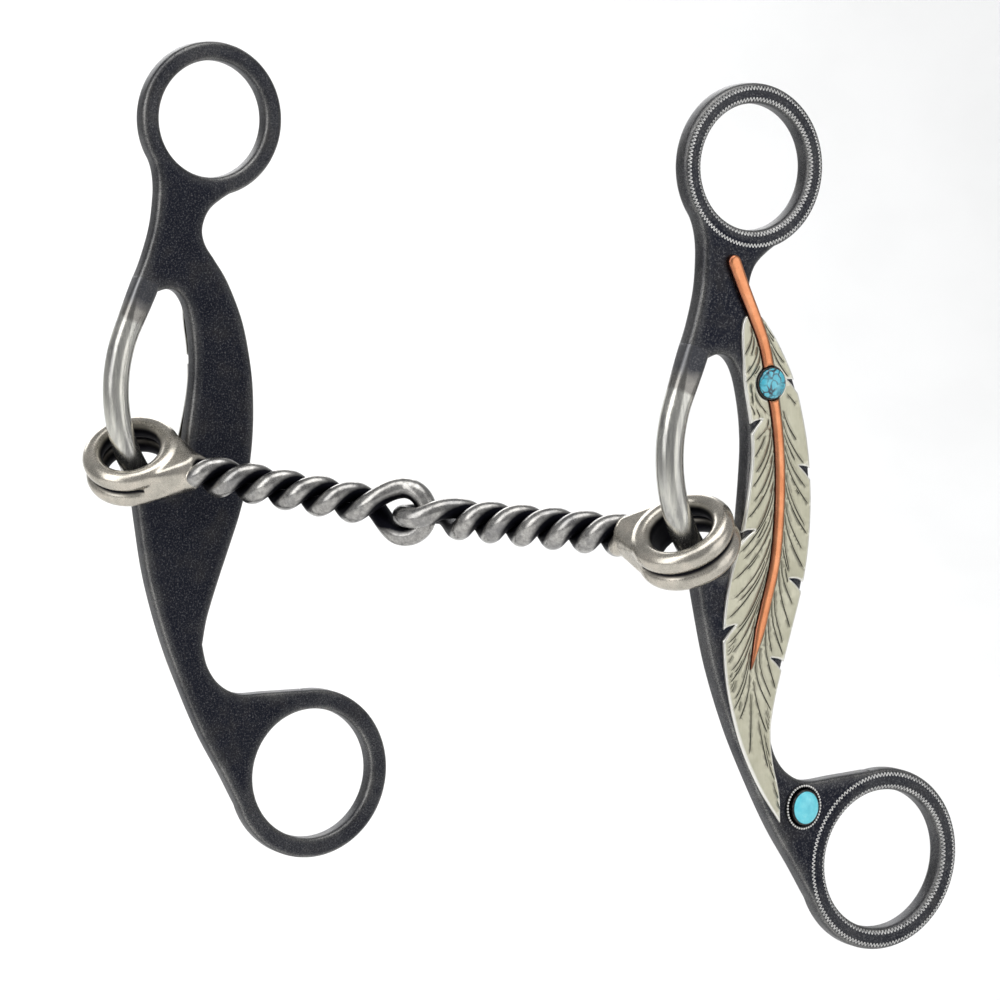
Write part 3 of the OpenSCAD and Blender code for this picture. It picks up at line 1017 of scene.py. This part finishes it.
def build_feather(side):
    sheet = feather_sheet
    d = np.minimum(sheet.depth / 0.4, 1)
    top = feather_top - 0.3 * (1 - np.sqrt(1 - (1 - d) ** 2)) - 0.1 * (1 - smoothstep(sheet.depth / 3))
    to_groove = distance(Sheet.groove_segments(sheet.cuts), sheet.points)
    top = top - groove_depth * np.clip(1 - to_groove / 0.1, 0, 1)
    verts, faces, n = relief(sheet, top, face_y - foot_sunk)
    beside_quill = distance(segments_of(quill_loops), sheet.points)
    inner = beside_quill < sheet.depth + 0.05
    below = np.zeros(len(verts) - n)
    edge = np.concatenate([np.where(inner, 1, edge_share(sheet)), below])
    seam = np.concatenate([np.clip(1 - (beside_quill - 0.1) / 0.25, 0, 0.9), below])
    values = {"edge": edge, "seam": seam}
    obj = on_cheek(side, "_feather_silver", verts, faces, "feather_silver", "_feather", values=values)
    dress(obj, "feather_silver", "engraving")
    marks = [1 if k < len(sheet.cut) and sheet.cut[k] else 0 for k in range(len(faces))]
    obj.data.polygons.foreach_set("material_index", marks)
    return obj


quill_sheet = Sheet(quill_loops, [0.05, 0.15, 0.32, 0.6, 0.9], 0.5)


def build_quill(side):
    sheet = quill_sheet
    d = np.minimum(sheet.depth / 0.9, 1)
    top = face_y + (quill_top - face_y) * (0.5 + 0.5 * np.sqrt(1 - (1 - d) ** 2))
    verts, faces, n = relief(sheet, top, face_y - foot_sunk)
    edge = np.concatenate([edge_share(sheet), np.zeros(len(verts) - n)])
    obj = on_cheek(side, "_quill_copper", verts, faces, "quill_copper", "_quill", values={"edge": edge})
    return dress(obj, "copper")


# ---------------------------------------------------------------- stones, bezels and beads


def lathe(node, profile, sides=72):
    """Turned shape in a node's place, drawn out to its height. profile is (r, y_out) from outside in."""
    centre = node_centre(node)
    hx, hz = half_sizes(node)
    verts, faces = [], []
    m = len(profile)
    for k in range(sides):
        a = 2 * math.pi * k / sides
        across, up = math.cos(a), hz / hx * math.sin(a)
        verts += [(centre.x + r * across, -out, centre.z + r * up) for r, out in profile]
    for k in range(sides):
        a, b = k * m, ((k + 1) % sides) * m
        faces += [(a + i, b + i, b + i + 1, a + i + 1) for i in range(m - 1)]
    return verts, faces


def node_centre(node):
    low, high = box_mm(node)
    return (low + high) / 2


def half_sizes(node):
    low, high = box_mm(node)
    return (high.x - low.x) / 2, (high.z - low.z) / 2


def dome(r, base, shoulder, crown, rings=14):
    """Profile of a cabochon: a short wall, a rounded shoulder and a low crown."""
    points = [(r, base)]
    for k in range(rings + 1):
        t = k / rings * math.pi / 2
        points.append((r * math.cos(t) ** 0.75, shoulder + (crown - shoulder) * math.sin(t)))
    points[-1] = (0.001, crown)
    return points


def ring_wall(r_in, r_out, base, top):
    mid = (r_in + r_out) / 2
    lip = (r_out - r_in) / 2
    points = [(r_out, base), (r_out, top - lip)]
    points += [
        (mid + lip * math.cos(a), top - lip + lip * math.sin(a))
        for a in (math.pi * k / 8 for k in range(1, 8))
    ]
    points += [(r_in, top - lip), (r_in, base), (r_out, base)]
    return points


def closed_stone(side, name, node, slot, shoulder, crown):
    r = half_sizes("right" + node)[0] + 0.12
    verts, faces = lathe("right" + node, dome(r, face_y - foot_sunk, shoulder, crown))
    obj = on_cheek(side, name, verts, faces, slot, node)
    close_holes(obj)
    return dress(obj, slot)


def close_holes(obj):
    bm = bmesh.new()
    bm.from_mesh(obj.data)
    bmesh.ops.remove_doubles(bm, verts=bm.verts, dist=2e-6)
    bmesh.ops.holes_fill(bm, edges=[e for e in bm.edges if e.is_boundary], sides=0)
    bmesh.ops.recalc_face_normals(bm, faces=bm.faces)
    bm.to_mesh(obj.data)
    bm.free()


def build_stones(side):
    closed_stone(side, "_round_turquoise", "_quill_stone", "turquoise_round", bezel_top - 0.15, stone_top)
    closed_stone(side, "_oval_turquoise", "_shank_stone", "turquoise_oval", oval_top - 0.75, oval_top)
    for name, node in (("_round_bezel", "_quill_bezel"), ("_oval_bezel", "_shank_bezel")):
        r = half_sizes("right" + node)[0]
        lip_top = -box_mm("right" + node)[0].y - 0.35
        verts, faces = lathe("right" + node, ring_wall(r - bezel_wall, r, face_y - foot_sunk, lip_top))
        obj = on_cheek(side, name, verts, faces, "bezel_metal", node)
        close_holes(obj)
        dress(obj, "dark_bezel")


def build_beads(side, count=44, r=0.31):
    """Fine beads on a low ring round the oval bezel."""
    node = "right_shank_bead_rim"
    centre = node_centre(node)
    hx, hz = half_sizes(node)
    inner = half_sizes("right_shank_bezel")[0]
    base_top = face_y + 0.32
    verts, faces = lathe(node, ring_wall(inner - 0.05, hx, face_y - foot_sunk, base_top))
    edge = [0.0] * len(verts)
    rx, rz = hx - 0.4, hz - 0.4
    for k in range(count):
        a = 2 * math.pi * k / count
        at = Vector((centre.x + rx * math.cos(a), -base_top, centre.z + rz * math.sin(a)))
        bm = bmesh.new()
        bmesh.ops.create_icosphere(bm, subdivisions=2, radius=r)
        first = len(verts)
        verts += [tuple(at + v.co) for v in bm.verts]
        edge += [float(np.clip(-v.co.y / r, 0, 1)) for v in bm.verts]
        faces += [tuple(first + v.index for v in f.verts) for f in bm.faces]
        bm.free()
    obj = on_cheek(side, "_bead_rim", verts, faces, "bead_silver", "_shank_bead_rim", values={"edge": edge})
    return dress(obj, "bead_silver")


# ---------------------------------------------------------------- mouthpiece


def eased(s):
    return s * s / (2 * eye_blend) if s < eye_blend else s - eye_blend / 2


def strand_point(x, side):
    s = eye_x - x
    turn = 2 * math.pi * eased(s) / twist_lead
    r = side * (strand_r + (eye_r - strand_r) * (1 - float(smoothstep(s / eye_blend))))
    return Vector((x, r * math.cos(turn), r * math.sin(turn)))


def wire_path(start, step=0.4, arc_steps=34):
    count = round((eye_x - start) / step)
    xs = [start + (eye_x - start) * k / count for k in range(count + 1)]
    path = [strand_point(x, 1) for x in xs]
    for k in range(1, arc_steps):
        a = math.pi / 2 - math.pi * k / arc_steps
        path.append(Vector((eye_x + eye_r * math.cos(a), eye_r * math.sin(a), 0)))
    return path + [strand_point(x, -1) for x in reversed(xs)]


def painted_shade_on_wire(path, verts, sides):
    """Painted shade mask: 1 where the surface faces the rope's axis or the inside of the eye, 0 on the crests."""
    out = []
    for i, p in enumerate(path):
        heart = Vector((min(p.x, eye_x), 0, 0))
        open_share = float(smoothstep((p.x - (eye_x - 7)) / 6))
        away = (p - heart).normalized() if (p - heart).length > 1e-6 else UP
        for k in range(sides):
            n = (Vector(verts[i * sides + k]) - p).normalized()
            facing = n.dot(away)
            low = 0.1 * (1 - open_share) - 0.8 * open_share
            high = 0.85 * (1 - open_share) + 0.1 * open_share
            out.append(1 - float(smoothstep((facing - low) / (high - low))))
    return out


def build_wire(side, roll):
    sides = 28
    path = wire_path(wire_start_x)
    verts, faces = sweep(path, lambda i: circle(wire_d / 2, sides))
    painted_shade = painted_shade_on_wire(path, verts, sides)
    placed = half_frames[side] @ Matrix.Rotation(math.radians(roll), 4, "X")
    obj = piece(
        side + "_twisted_mouth_wire", verts, faces, placed, side + "_mouth", "mouth_steel",
        [side + "_twisted_wire"], values={"painted_shade": painted_shade},
    )
    return dress(obj, "wire_steel")


def tilted(angle):
    return Matrix.Translation((end_ring_x, 0, 0)) @ Matrix.Rotation(math.radians(angle), 4, "X")


def build_end_fitting(side, tilt, roll):
    """Two wire rings, with braze between them, on a ground neck that runs into the twist."""
    frame_of_rings = tilted(tilt)
    offset = (end_ring_d + end_ring_gap) / 2
    verts, faces = [], []

    def join(more):
        first = len(verts)
        verts.extend(more[0])
        faces.extend(tuple(first + v for v in f) for f in more[1])

    for z, wire_r, wire_sides in ((-offset, end_ring_d / 2, 24), (offset, end_ring_d / 2, 24), (0, 1.0, 16)):
        ring = [frame_of_rings @ Vector((x, y, z)) for x, y in circle(end_ring_r, 96)]
        join(sweep(ring, lambda i: circle(wire_r, wire_sides), closed=True))
    join(neck_block(frame_of_rings))
    turn = Matrix.Rotation(math.radians(roll), 4, "X")
    for s in (1, -1):
        stub = [turn @ strand_point(12.2 + 0.4 * k, s) for k in range(15)]
        last = len(stub) - 1
        grown = [
            (wire_d / 2 + 0.06) * (0.4 + 0.6 * float(smoothstep(i / 5))) * (1 - 0.03 * max(0, i - last + 4))
            for i in range(last + 1)
        ]
        join(sweep(stub, lambda i: circle(grown[i], 24)))
    obj = piece(
        side + "_end_rings_and_neck", verts, faces, half_frames[side], side + "_mouth", "end_ring_steel",
        [side + "_end_rings", side + "_neck"],
    )
    fuse(obj, 0.26)
    layer = obj.data.attributes.new("painted_shade", "FLOAT", "POINT")
    layer.data.foreach_set("value", painted_shade_on_fitting(obj, side, frame_of_rings))
    return dress(obj, "ring_steel")


def painted_shade_on_fitting(obj, side, frame_of_rings):
    """Painted shade mask: dark in the seam between the rings, in their bore and in the valleys of the twist."""
    from_neck = half_frames[side].inverted()
    from_rings = (half_frames[side] @ frame_of_rings).inverted()
    valley_from = 15.2
    painted_shade = []
    for v in obj.data.vertices:
        p = from_rings @ (v.co / MM)
        q = from_neck @ (v.co / MM)
        r = math.hypot(p.x, p.y)
        height = abs(p.z)
        seam = 1 - float(smoothstep((height - 0.25) / 0.6)) if p.x < 6.5 else 0
        outer_seam = seam if abs(r - end_ring_r) > 0.9 else 0
        bore = float(smoothstep((end_ring_r - 0.9 - r) / 1.2)) * (1 - float(smoothstep((height - 3.2) / 1.4)))
        valley = 0.0
        if q.x > valley_from:
            low = 1 - float(smoothstep((math.hypot(q.y, q.z) - 3.0) / 0.9))
            valley = low * float(smoothstep((q.x - valley_from) / 0.8))
        painted_shade.append(max(outer_seam, bore, valley))
    return np.array(painted_shade, np.float32)


def object_from(bm, name):
    mesh = bpy.data.meshes.new(name)
    bm.to_mesh(mesh)
    bm.free()
    return add_object(name, mesh)


def neck_block(frame_of_rings):
    """Wedge from the rings to the twist, with the ring's hole cut through it."""
    bm = bmesh.new()
    half_t = 3.7
    post_r = 1.7
    spread = math.radians(50)
    hole_r = end_ring_hole_r + 0.1
    for a in (-spread, 0, spread):
        mid_x, mid_y = end_ring_r * math.cos(a), end_ring_r * math.sin(a)
        for z in (-half_t, half_t):
            for x, y in circle(post_r, 12):
                bm.verts.new(frame_of_rings @ Vector((mid_x + x, mid_y + y, z)))
    for at, r in ((15.2, 4.3), (16.2, 3.7)):
        for y, z in circle(r, 24):
            bm.verts.new((at, y, z))
    bmesh.ops.convex_hull(bm, input=bm.verts)
    loose = [v for v in bm.verts if not v.link_faces]
    bmesh.ops.delete(bm, geom=loose, context="VERTS")
    body = object_from(bm, "neck_hull")
    bm = bmesh.new()
    bmesh.ops.create_cone(
        bm, cap_ends=True, segments=72, radius1=hole_r, radius2=hole_r, depth=24, matrix=frame_of_rings,
    )
    drill = object_from(bm, "drill")
    cut = body.modifiers.new("hole", "BOOLEAN")
    cut.operation = "DIFFERENCE"
    cut.object = drill
    cut.solver = "EXACT"
    bpy.context.view_layer.update()
    made = body.evaluated_get(bpy.context.evaluated_depsgraph_get()).to_mesh()
    out = [tuple(v.co) for v in made.vertices], [tuple(f.vertices) for f in made.polygons]
    for o in (body, drill):
        bpy.data.objects.remove(o)
    return out


def fuse(obj, voxel):
    """Welds overlapping shapes into one skin and softens the joins."""
    remesh = obj.modifiers.new("fuse", "REMESH")
    remesh.mode = "VOXEL"
    remesh.voxel_size = voxel * MM
    remesh.use_smooth_shade = True
    soften = obj.modifiers.new("soften", "SMOOTH")
    soften.factor = 0.5
    soften.iterations = 12
    bpy.context.view_layer.update()
    evaluated = obj.evaluated_get(bpy.context.evaluated_depsgraph_get())
    made = bpy.data.meshes.new_from_object(evaluated)
    obj.modifiers.clear()
    obj.data = made
    obj.data.polygons.foreach_set("use_smooth", [True] * len(made.polygons))


# ---------------------------------------------------------------- assembly

for side in ("right", "left"):
    build_cheek(side)
    zigzag(side, "_headstall_inner_zigzag", head_at, head_r + inner_line_gap, head_tooth_pitch)
    zigzag(side, "_headstall_outer_zigzag", head_at, head_r + head_outer_line_gap, head_tooth_pitch)
    zigzag(side, "_rein_inner_zigzag", rein_at, rein_r + inner_line_gap, rein_tooth_pitch)
    zigzag(side, "_rein_outer_zigzag", rein_at, rein_r + rein_outer_line_gap, rein_tooth_pitch)
    build_bow_bar(side)
    build_feather(side)
    build_quill(side)
    build_stones(side)
    build_beads(side)
build_end_fitting("right", -end_ring_tilt, 0)
build_end_fitting("left", end_ring_tilt, 90)
build_wire("right", 0)
build_wire("left", 90)

# ---------------------------------------------------------------- stage, light and camera


def backdrop():
    """Pale floor that curves up into a wall behind the object."""
    floor_z, wall_y, bend = -0.30, 1.6, 0.6
    profile = [(-2.2, floor_z), (wall_y - bend, floor_z)]
    for k in range(1, 17):
        a = math.pi / 2 * k / 16
        profile.append((wall_y - bend + bend * math.sin(a), floor_z + bend - bend * math.cos(a)))
    profile.append((wall_y, 2.6))
    verts, faces = [], []
    for along, z in profile:
        for across in (-3.2, 3.2):
            verts.append((across, along, z))
    faces = [(2 * k, 2 * k + 1, 2 * k + 3, 2 * k + 2) for k in range(len(profile) - 1)]
    mesh = bpy.data.meshes.new("backdrop")
    mesh.from_pydata(verts, [], faces)
    mesh.polygons.foreach_set("use_smooth", [True] * len(mesh.polygons))
    obj = add_object("backdrop", mesh)
    obj.rotation_euler.z = math.radians(-30)
    s = Shade("backdrop_paper")
    tone = s.ramp(s.noise(60, 2, 0.5), (0.3, (0.93, 0.93, 0.925)), (0.7, (0.96, 0.96, 0.955)))
    obj.data.materials.append(s.finish(tone, 0.9, 0.0))


def aimed(name, data, aim, azimuth, elevation, reach):
    """A light or camera that looks at aim from an azimuth, from -Y towards -X, and an elevation."""
    a, e = math.radians(azimuth), math.radians(elevation)
    away = Vector((-math.sin(a) * math.cos(e), -math.cos(a) * math.cos(e), math.sin(e)))
    obj = add_object(name, data)
    obj.location = aim + away * reach
    obj.rotation_mode = "QUATERNION"
    obj.rotation_quaternion = (-away).to_track_quat("-Z", "Y")
    return obj


def area_light(name, azimuth, elevation, reach, size, power, aim):
    data = bpy.data.lights.new(name, "AREA")
    data.shape = "RECTANGLE"
    data.size, data.size_y = size
    data.energy = power
    aimed(name, data, aim, azimuth, elevation, reach)


def studio():
    world = bpy.data.worlds.new("studio")
    world.use_nodes = True
    world.node_tree.nodes["Background"].inputs["Color"].default_value = (0.97, 0.98, 1, 1)
    world.node_tree.nodes["Background"].inputs["Strength"].default_value = 0.45
    bpy.context.scene.world = world
    aim = Vector((-0.03, 0.05, -0.07))
    area_light("front_right_card", -30, 4, 1.1, (0.9, 1.2), 4, aim)
    area_light("left_key", 78, 28, 1.0, (0.5, 1.1), 5, aim)
    area_light("top_box", 10, 72, 1.1, (1.0, 0.7), 6, aim)
    area_light("wall_wash", 210, 42, 0.9, (1.6, 0.7), 11, Vector((-0.2, 0.9, 0.1)))
    bpy.context.scene.view_settings.view_transform = "Standard"


def camera():
    look_at = Vector((-0.0438, 0.0270, -0.0691))
    data = bpy.data.cameras.new("camera")
    data.lens = 129.6
    data.sensor_width = 36
    bpy.context.scene.camera = aimed("camera", data, look_at, azimuth=30, elevation=5.5, reach=0.75)


backdrop()
studio()
camera()
